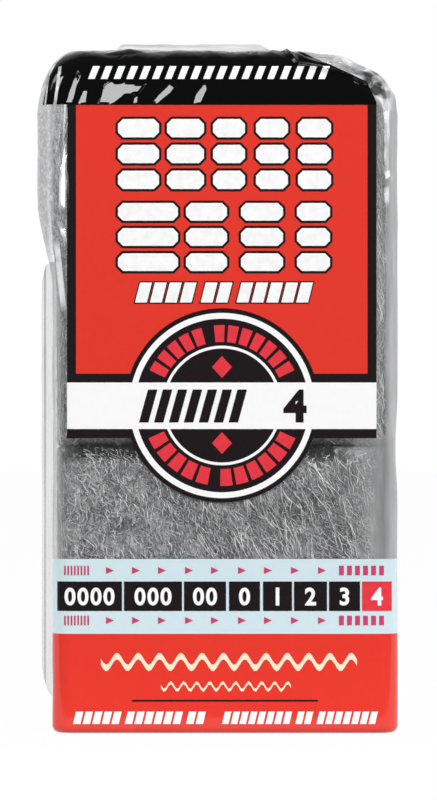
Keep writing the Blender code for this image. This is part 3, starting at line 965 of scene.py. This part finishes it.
def side_haze(nodes, x, y, z, from_middle, painted_glint_speckle):
    """Cloudiness of the film toward the pack's sides: speckled with painted glints at the left, streaked at
    the right.
    """
    upper = z.rise(row(330), 40.0)
    left = painted_glint_speckle * (upper * 0.12 + 0.22) + (upper * 0.14 + 0.15)
    left = (x < 0.0) * (from_middle.rise(0.0425, 90.0) * left)
    left = left * (y.rise(FRONT_FACE + 0.016, -150.0) * 0.75 + 0.25)
    streaks = nodes.noise(1.0, 2.0, stretch=(520.0, 520.0, 40.0))
    return left + x.rise(column(342), 60.0) * (streaks * 0.50 - 0.03)


def film_material():
    """Clear glossy film, with opaque print on the front."""
    nodes = material_nodes("printed_film")
    x, y, z = nodes.axes()
    colour, cover = print_fields(nodes, x, y, z)
    bare = 1.0 - cover
    ripple = nodes.noise(80.0, 3.0, 0.5, 0.5, stretch=(1.0, 1.0, 0.4))
    normal = nodes.bump(ripple * (cover * -0.9 + 1.0), 0.20, 0.0008)
    # painted highlight: a fine speckle that clouds the film whiter, for the tiny glints of crumpled film
    painted_glint_speckle = nodes.noise(1100.0, 3.0, 0.7, stretch=(1.0, 1.0, 0.7)).fit(5.0, -2.3)
    from_middle = abs(x - 0.0008)
    # The bunched film of the two shoulders, silver and full of folds, with painted shade in dark patches of
    # its colour
    wavy = nodes.noise(90.0, 1.0) * 0.020 + (z - 0.010)
    bunched = wavy.rise(row(110), 250.0) * from_middle.rise(0.0280, 60.0)
    ear = bunched * (bare * ((x > 0.0) * 0.35 + 0.65))
    folds = nodes.noise(165.0, 2.0, 0.5, 1.5).fit(3.6, -1.42)
    billow = ear * 0.85 + nodes.noise(130.0, 1.0).fit(1.5, -0.40)
    # painted shade: dark patches in the bunched film's colour, for the shade and dark reflections of its
    # folds
    painted_shade = ear * (folds * -0.70 + 0.95)
    cloudy = bunched * billow + (side_haze(nodes, x, y, z, from_middle, painted_glint_speckle) + 0.02)
    # The front's corners, greyed with painted shade, and bands of painted highlight on the slack film beside
    # the label
    corner = y.rise(FRONT_FACE + 0.0085, -400.0) * bare
    for start, slope, head, foot, cloudiness, painted_darkness, grain in CLOUDY_SHADED_STRIPS:
        strip = x.rise(column(start), slope) * ((z < row(head)) * (z > row(foot))) * corner
        # painted shade: the strip's cloudy film is darkened to grey toward the corner
        painted_shade = painted_shade.most(strip * (painted_glint_speckle * -grain + painted_darkness))
        cloudy = strip * cloudiness + cloudy
    # painted highlight: white haze along the bands where the slack film shows glare
    painted_glare = painted_glare_bands(x, z) * corner
    cloudy = painted_glare * 0.72 + cloudy
    painted_shade = painted_shade * (1.0 - painted_glare)
    # painted shade darkens the film's colour here
    tone = (nodes.noise(420.0) * 0.05 + 0.975) * (1.0 - painted_shade)
    # Gloss, strongest where the film is taut at the upper right
    strong = z.rise(row(240), 110.0) * (bunched * -0.8 + 1.0) * (x > 0.0)
    gloss = nodes.thin_gloss(Normal=normal) * (strong * 2.0 + 1.0)
    mirror = gloss / (cloudy + gloss)
    surface = nodes.principled(Base_Color=nodes.scaled(colour, tone), Metallic=mirror.most(ear * 0.12) * bare,
                               Roughness=ear * 0.26 + 0.09, Normal=normal, IOR=1.45)
    return nodes.finish(nodes.thin(cover.most((cloudy + gloss).fit(1.0, 0.0)), surface))


# Columns of the grey lines along the side weld
WELD_LINES = (42.0, 51.0)
WELD_LINE_COLOUR = (0.36, 0.36, 0.37)


def weld_material(name, dark, light, cloudiness, grain):
    """Two films welded together: a little cloudy, with faint lines along the weld."""
    nodes = material_nodes(name)
    x = nodes.axes()[0]
    rim, other = (abs(x - column(line)) < 0.7 * PIXEL for line in WELD_LINES)
    rim = rim.most(other)
    lines = nodes.noise(1.0, 2.0, stretch=grain)
    haze = rim * 0.35 + (lines * 0.18 + (nodes.noise(240.0) * 0.10 + cloudiness))
    colour = nodes.mix(rim, nodes.ramp(lines, (0.3, dark), (0.7, light)), WELD_LINE_COLOUR)
    surface = nodes.principled(Base_Color=colour, Roughness=0.22, Normal=nodes.bump(lines, 0.3, 0.0004))
    return nodes.finish(nodes.thin((haze + nodes.thin_gloss()).fit(1.0, 0.0), surface))


# Painted shade in the valley between the stacks: its row, how far it reaches and how dark it is
VALLEY_ROW = 450.5
VALLEY_REACH = 0.0042
VALLEY_PAINTED_SHADE = 0.97


def wool_painted_shade(nodes):
    """How light the wool is: painted shade in the front's valley between the stacks, paler toward the left.
    """
    x, y, z = nodes.axes()
    near = abs(z - row(VALLEY_ROW)).fit(-1.8 / VALLEY_REACH, 1.8)
    near = near * nodes.noise(620.0, 2.0, stretch=(1.0, 0.3, 0.7)).fit(4.5, -1.05)
    ends = abs(x + 0.0050).rise(0.040, 140.0)
    # painted shade: the wool's colour is darkened in the recess between the upper and lower pads
    dark = near * (ends * -0.8 + VALLEY_PAINTED_SHADE) * (y < FRONT_FACE + PAD_THICKNESS)
    return (x.rise(column(190), -25.0) * 0.20 + 1.0) * (1.0 - dark)


def core_material():
    """The dense inside of a pad: matted strands, coloured dark as painted shade of the gaps deep in the wool.
    """
    nodes = material_nodes("wool_core")
    strands = nodes.noise(1.0, 3.0, 0.6, 1.2, stretch=(2600.0, 2600.0, 620.0))
    # painted shade: the core's dark tones show between the loose strands as the wool's shaded depths
    colour = nodes.ramp(nodes.noise(160.0) * 0.4 + strands * 0.7, (0.42, (0.060, 0.062, 0.064)),
                        (0.55, (0.27, 0.28, 0.282)), (0.68, (0.60, 0.61, 0.615)))
    # the base colour carries the painted shade of the valley between the stacks
    surface = nodes.principled(Base_Color=nodes.scaled(colour, wool_painted_shade(nodes)), Metallic=0.15,
                               Roughness=strands * 0.3 + 0.4, Normal=nodes.bump(strands, 0.8, 0.0006))
    return nodes.finish(surface)


def strand_material():
    """Loose strands, each with a tone of its own and painted glints: short lighter stretches of colour along
    it.
    """
    nodes = material_nodes("wool_strands")
    island = Number(nodes, nodes.add("ShaderNodeNewGeometry").outputs["Random Per Island"])
    # painted highlight: noise that lightens the colour in short glints along each strand
    painted_glints = nodes.noise(800.0, 2.0)
    tone = painted_glints * 0.35 + (island * 0.55 + nodes.noise(90.0, 2.0) * 0.20)
    colour = nodes.ramp(tone, (0.30, (0.110, 0.114, 0.118)), (0.46, (0.34, 0.35, 0.355)),
                        (0.64, (0.57, 0.58, 0.585)), (0.80, (0.86, 0.86, 0.86)))
    # the base colour carries the painted shade of the valley between the stacks
    return nodes.finish(nodes.principled(Base_Color=nodes.scaled(colour, wool_painted_shade(nodes)), Metallic=0.20,
                                         Roughness=painted_glints * 0.3 + 0.22))


def painted_highlight_material():
    """Strands coloured near white, as painted highlights of strands that catch the light."""
    nodes = material_nodes("wool_painted_highlight")
    colour = nodes.ramp(nodes.noise(500.0, 2.0), (0.35, (0.70, 0.70, 0.70)), (0.60, (1.0, 1.0, 1.0)))
    return nodes.finish(nodes.principled(Base_Color=colour, Metallic=0.10, Roughness=0.30))


def ink_material(name, colour):
    """Printing ink under the film's gloss."""
    nodes = material_nodes("ink_" + name)
    dark = tuple(0.94 * part for part in colour)
    light = tuple(min(1.0, 1.02 * part) for part in colour)
    mottled = nodes.ramp(nodes.noise(420.0), (0.35, dark), (0.65, light))
    return nodes.finish(nodes.principled(Base_Color=mottled, Roughness=0.09, IOR=1.45))


# Ink shapes on the film, in columns and rows
INK_LIFT = 0.00006
EDGE_CUTS = (58.0, 60.0, 62.0, 64.0, 66.0, 68.0, 70.0, 72.0, 380.0, 382.0, 384.0, 386.0, 388.0, 390.0)
FOLD_CUTS = (66.0, 68.0, 70.0, 72.0, 74.0, 76.0, 78.0)
TITLE_LINES = 3
TITLE_GAP = 7.5
TITLE_CUT = 5.0
TITLE_OUTLINE = 2.4
TITLE_ROWS = (
    (119.0, 189.0, ((118.0, 159.0), (167.0, 204.0), (213.0, 245.0), (256.0, 288.0), (298.0, 331.0))),
    (203.0, 271.0, ((118.0, 178.0), (186.0, 227.0), (241.0, 283.0), (297.0, 330.0))),
)
BLOCK_RADII = (63.5, 80.5)
DIAMOND_ROWS = (367.0, 443.0)
GRADE_ROWS = (581.5, 611.0)
GRADE_PITCH = 13.0
GRADE_BOXES = ((57.0, 122.0, "0000"), (124.0, 182.0, "000"), (184.0, 226.0, "00"), (229.0, 260.0, "0"),
               (263.0, 292.0, "1"), (294.0, 327.0, "2"), (329.0, 360.0, "3"), (362.0, 392.0, "4"))
MARKER_COLUMNS = (106.0, 132.0, 158.0, 185.0, 211.0, 238.0, 264.0, 291.0, 318.0)
MARKER_ROWS = (570.5, 620.5)


def expand(outline, margin):
    """A convex outline grown outward by a margin, in pixels."""
    points = np.array(outline, dtype=float)
    ahead = np.roll(points, -1, axis=0)
    area = np.sum(points[:, 0] * ahead[:, 1] - ahead[:, 0] * points[:, 1])
    run = (ahead - points) / np.linalg.norm(ahead - points, axis=1, keepdims=True)
    out = np.stack([run[:, 1], -run[:, 0]], 1) * np.sign(area)
    bisector = out + np.roll(out, 1, axis=0)
    bisector /= 0.5 * np.sum(bisector * bisector, axis=1, keepdims=True)
    return (points + margin * bisector).tolist()


def box(left, right, top, foot):
    return [(left, top), (right, top), (right, foot), (left, foot)]


def spread(start, end, groups, gap, space):
    """Starts and ends of equal parts in groups, which fill a length."""
    parts = sum(groups)
    width = (end - start - gap * (parts - len(groups)) - space * (len(groups) - 1)) / parts
    places = []
    for group in groups:
        for _ in range(group):
            places.append((start, start + width))
            start += width + gap
        start += space - gap
    return places


def slanted_row(left, right, top, foot, slant, groups, gap, space):
    """Bars that lean to the right, in groups that fill a width."""
    return [[(start + slant, top), (end + slant, top), (end, foot), (start, foot)]
            for start, end in spread(left, right - slant, groups, gap, space)]


def arc_row(start, end, groups):
    """Blocks in groups along an arc of the roundel, in quads."""
    sign = 1.0 if end > start else -1.0
    quads = []
    for first, last in spread(0.0, abs(end - start), groups, 2.6, 9.0):
        angles = np.radians(start + sign * np.linspace(first, last, 5))
        for before, after in zip(angles, angles[1:]):
            corners = zip(BLOCK_RADII + BLOCK_RADII[::-1], (before, before, after, after))
            quads.append([(ROUNDEL[0] + radius * math.cos(angle), ROUNDEL[1] - radius * math.sin(angle))
                          for radius, angle in corners])
    return quads


def wave(left, right, middle, thickness, height, length):
    """A wavy band, as quads side by side."""
    columns = np.linspace(left, right, int((right - left) / 2.5) + 1)
    levels = middle + height * np.sin(2.0 * math.pi * (columns - left) / length)
    half = 0.5 * thickness
    upper = list(zip(columns, levels - half))
    lower = list(zip(columns, levels + half))
    quads = []
    for index in range(len(upper) - 1):
        quads.append([upper[index], upper[index + 1], lower[index + 1], lower[index]])
    return quads


def slab(left, right, top, foot, cut):
    """A bar with its corners cut off."""
    return [(left + cut, top), (right - cut, top), (right, top + cut), (right, foot - cut),
            (right - cut, foot), (left + cut, foot), (left, foot - cut), (left, top + cut)]


def title_slabs():
    """Stacks of slabs, like pads in a pile, in the big title's place."""
    slabs = []
    for top, foot, blocks in TITLE_ROWS:
        pitch = (foot - top + TITLE_GAP) / TITLE_LINES
        for left, right in blocks:
            for line in range(TITLE_LINES):
                start = top + line * pitch
                slabs.append(slab(left, right, start, start + pitch - TITLE_GAP, TITLE_CUT))
    return slabs


def glyph(character, middle, top, foot, stretch, weight):
    """A numeral from the built-in font, between two rows and centred on a column, as flat faces."""
    curve = bpy.data.curves.new("numeral", "FONT")
    curve.body = character
    curve.offset = weight
    curve.resolution_u = 4
    holder = bpy.data.objects.new("numeral", curve)
    bpy.context.scene.collection.objects.link(holder)
    mesh = holder.evaluated_get(bpy.context.evaluated_depsgraph_get()).to_mesh()
    points = np.array([vertex.co[:2] for vertex in mesh.vertices])
    low = points.min(axis=0)
    span = points.max(axis=0) - low
    scale = (foot - top) / span[1]
    placed = [(middle + stretch * scale * (x - low[0] - 0.5 * span[0]), foot - scale * (y - low[1]))
              for x, y in points]
    outlines = [[placed[index] for index in face.vertices] for face in mesh.polygons]
    bpy.data.objects.remove(holder)
    return outlines


def cut_across(model, places, normal):
    """Cuts a model's faces where planes cross it, so that they can bend there."""
    for place in places:
        geometry = model.verts[:] + model.edges[:] + model.faces[:]
        bmesh.ops.bisect_plane(model, geom=geometry, plane_co=place, plane_no=normal)


def print_layer(name, outlines, layer, colour, film_tree):
    """Flat shapes of one ink, laid on the film's front."""
    model = bmesh.new()
    for outline in outlines:
        corners = [(column(across), FRONT_FACE, row(down)) for across, down in outline]
        model.faces.new([model.verts.new(corner) for corner in corners])
    cut_across(model, [(column(cut), 0.0, 0.0) for cut in EDGE_CUTS], (1.0, 0.0, 0.0))
    cut_across(model, [(0.0, 0.0, row(cut)) for cut in FOLD_CUTS], (0.0, 0.0, 1.0))
    for corner in model.verts:
        hit = film_tree.ray_cast(Vector((corner.co.x, -0.1, corner.co.z)), Vector((0.0, 1.0, 0.0)))[0]
        corner.co.y = hit.y - layer * INK_LIFT
    bmesh.ops.remove_doubles(model, verts=model.verts, dist=0.000002)
    model.normal_update()
    for face in model.faces:
        if face.normal.y > 0.0:
            face.normal_flip()
    mesh = bpy.data.meshes.new("print_" + name)
    model.to_mesh(mesh)
    model.free()
    return new_piece("print_" + name, mesh, [ink_material(name, colour)], smooth=False)


def build_print(film):
    """All ink shapes on the front of the bag, one piece for each ink and layer."""
    tree = BVHTree.FromPolygons([vertex.co for vertex in film.data.vertices],
                                [polygon.vertices for polygon in film.data.polygons])
    fills = title_slabs()
    backs = [expand(outline, TITLE_OUTLINE) for outline in fills]
    subtitle = slanted_row(135.0, 313.0, 282.5, 302.5, 5.0, (4, 2, 5), 3.0, 9.0)
    backs += [expand(bar, 1.2) for bar in subtitle]
    backs += slanted_row(139.0, 247.0, 389.5, 422.5, 9.0, (7,), 5.5, 0.0)
    backs += glyph("4", 295.0, 389.5, 422.5, 1.0, 0.045)
    backs += [box(left, right, *GRADE_ROWS) for left, right, _ in GRADE_BOXES[:-1]]
    backs.append(box(132.0, 318.0, 699.8, 701.6))
    fills += subtitle
    fills += slanted_row(88.0, 330.0, 66.0, 79.0, 5.0, (19,), 6.0, 0.0)
    fills += slanted_row(73.0, 206.0, 711.5, 724.0, 3.0, (5, 6, 2), 2.2, 6.0)
    fills += slanted_row(222.0, 378.0, 711.5, 724.0, 3.0, (8, 2, 7), 2.2, 6.0)
    for left, right, figures in GRADE_BOXES:
        start = 0.5 * (left + right) - 0.5 * GRADE_PITCH * (len(figures) - 1)
        for index, figure in enumerate(figures):
            fills += glyph(figure, start + index * GRADE_PITCH, 587.5, 605.5, 0.95, 0.030)
    pink = arc_row(154.0, 26.0, (5, 7)) + arc_row(204.0, 336.0, (5, 6))
    for middle in DIAMOND_ROWS:
        pink.append([(222.0, middle - 11.0), (232.0, middle), (222.0, middle + 11.0), (212.0, middle)])
    pink.append(box(*GRADE_BOXES[-1][:2], *GRADE_ROWS))
    magenta = []
    for middle in MARKER_ROWS:
        for left in MARKER_COLUMNS:
            magenta.append([(left, middle - 3.6), (left + 8.0, middle), (left, middle + 3.6)])
        magenta += slanted_row(64.0, 89.0, middle - 4.8, middle + 4.8, 0.0, (8,), 1.6, 0.0)
        magenta += slanted_row(339.0, 384.0, middle - 4.8, middle + 4.8, 0.0, (6,), 3.2, 0.0)
    cream = wave(101.0, 357.0, 662.0, 6.5, 6.0, 21.3) + wave(161.0, 291.0, 686.5, 3.0, 4.0, 13.0)
    print_layer("black", backs, 1, BLACK, tree)
    print_layer("pink", pink, 1, PINK, tree)
    print_layer("magenta", magenta, 1, MAGENTA, tree)
    print_layer("cream", cream, 1, CREAM, tree)
    print_layer("white", fills, 2, WHITE, tree)


# Lamps: name, degrees around from the front, degrees up, distance, width, height, watts, seen in gloss
LAMPS = (
    ("glint", -19.2, 15.0, 1.40, 0.24, 0.19, 2.4, True),
    ("front", 10.0, 40.0, 1.40, 0.60, 0.40, 7.3, False),
    ("left", -48.0, 30.0, 1.45, 0.60, 0.50, 6.0, True),
    ("right", 55.0, 21.0, 1.45, 0.85, 0.80, 9.5, True),
    ("rim", 180.0, 66.0, 1.35, 1.00, 0.50, 5.0, False),
)
# Brightness of the room from its front to its back: as seen in gloss, and as light on the object
ROOM_IN_GLOSS = ((0.54, (0.08,) * 3), (0.90, (1.0,) * 3))
ROOM_LIGHT = ((0.08, (0.10,) * 3), (0.62, (0.80,) * 3))
GROUND_SIZE = 6.0
GROUND_NEAR = -0.10
GROUND_COLOUR = (0.70, 0.70, 0.70)
GROUND_GLOW = 0.97
CAMERA_DISTANCE = 1.6
SENSOR_HEIGHT = 24.0


def build_ground():
    """A pale ground that looks almost white from the camera and in gloss, and still takes a faint shadow."""
    nodes = material_nodes("ground")
    path = nodes.add("ShaderNodeLightPath").outputs
    seen = nodes.math("MAXIMUM", path["Is Camera Ray"], path["Is Transmission Ray"])
    seen = seen.most(path["Is Glossy Ray"])
    paper = nodes.principled(Base_Color=GROUND_COLOUR, Roughness=0.9)
    glow = nodes.add("ShaderNodeEmission").outputs[0]
    middle = GROUND_NEAR + 0.5 * GROUND_SIZE
    bpy.ops.mesh.primitive_plane_add(size=GROUND_SIZE, location=(0.0, middle, -0.0002))
    ground = bpy.context.object
    ground.name = "ground"
    ground.data.materials.append(nodes.finish(nodes.blend(seen * GROUND_GLOW, paper, glow)))


def build_world():
    """White behind the object, in a room that is dark in front of it and bright behind it."""
    world = bpy.data.worlds.new("studio")
    bpy.context.scene.world = world
    nodes = Nodes(world)
    path = nodes.add("ShaderNodeLightPath").outputs
    place = nodes.add("ShaderNodeTexCoord").outputs["Generated"]
    depth = nodes.add("ShaderNodeSeparateXYZ", (place,)).outputs["Y"]
    span = nodes.add("ShaderNodeMapRange", {"Value": depth, "From Min": -1.0, "From Max": 1.0}).outputs[0]
    in_gloss = nodes.ramp(span, *ROOM_IN_GLOSS)
    shades = nodes.mix(path["Is Diffuse Ray"], in_gloss, nodes.ramp(span, *ROOM_LIGHT))
    room = nodes.add("ShaderNodeBackground", {"Color": shades}).outputs[0]
    white = nodes.add("ShaderNodeBackground", {"Color": (1.0, 1.0, 1.0), "Strength": 1.0}).outputs[0]
    seen = nodes.math("MAXIMUM", path["Is Camera Ray"], path["Is Transmission Ray"])
    nodes.finish(nodes.blend(seen, room, white), "ShaderNodeOutputWorld")


def build_lamps():
    """Soft lamps around the object, none of them seen by the camera."""
    middle = Vector((0.0, FRONT_FACE, row(0.5 * FRAME_ROWS)))
    for name, azimuth, elevation, distance, width, height, power, glossy in LAMPS:
        light = bpy.data.lights.new(name, "AREA")
        light.shape = "RECTANGLE"
        light.size = width
        light.size_y = height
        light.energy = power
        lamp = bpy.data.objects.new(name, light)
        turn = math.radians(azimuth)
        lift = math.radians(elevation)
        away = Vector((math.sin(turn) * math.cos(lift), -math.cos(turn) * math.cos(lift), math.sin(lift)))
        lamp.location = middle + distance * away
        lamp.rotation_euler = (-away).to_track_quat("-Z", "Y").to_euler()
        lamp.visible_camera = False
        lamp.visible_glossy = glossy
        bpy.context.scene.collection.objects.link(lamp)


def build_camera():
    """A level camera with a long lens, straight in front of the pack."""
    camera_data = bpy.data.cameras.new("camera")
    camera = bpy.data.objects.new("camera", camera_data)
    bpy.context.scene.collection.objects.link(camera)
    camera.location = (column(0.5 * FRAME_COLUMNS), FRONT_FACE - CAMERA_DISTANCE, row(0.5 * FRAME_ROWS))
    camera.rotation_euler = (math.radians(90.0), 0.0, 0.0)
    camera_data.sensor_fit = "VERTICAL"
    camera_data.sensor_height = SENSOR_HEIGHT
    camera_data.lens = SENSOR_HEIGHT * CAMERA_DISTANCE / (FRAME_ROWS * PIXEL)
    camera_data.clip_start = 0.05
    bpy.context.scene.camera = camera
    bpy.context.scene.view_settings.view_transform = "Standard"


def main():
    build_ground()
    build_world()
    build_lamps()
    build_camera()
    build_print(build_film(film_material()))
    side_weld = weld_material("side_weld", (0.55, 0.56, 0.57), (0.86, 0.86, 0.87), 0.20,
                              (1400.0, 300.0, 12.0))
    top_weld = weld_material("top_weld", (0.54, 0.54, 0.53), (0.80, 0.80, 0.79), 0.55, (25.0, 300.0, 900.0))
    weld_strip("side_weld_fin", side_weld_lines(), side_weld)
    weld_strip("top_weld_strip", top_weld_lines(), top_weld)
    wool = [core_material(), strand_material(), painted_highlight_material()]
    for upper in (False, True):
        for layer in range(LAYERS):
            build_pad(Pad(upper, layer), wool)


main()
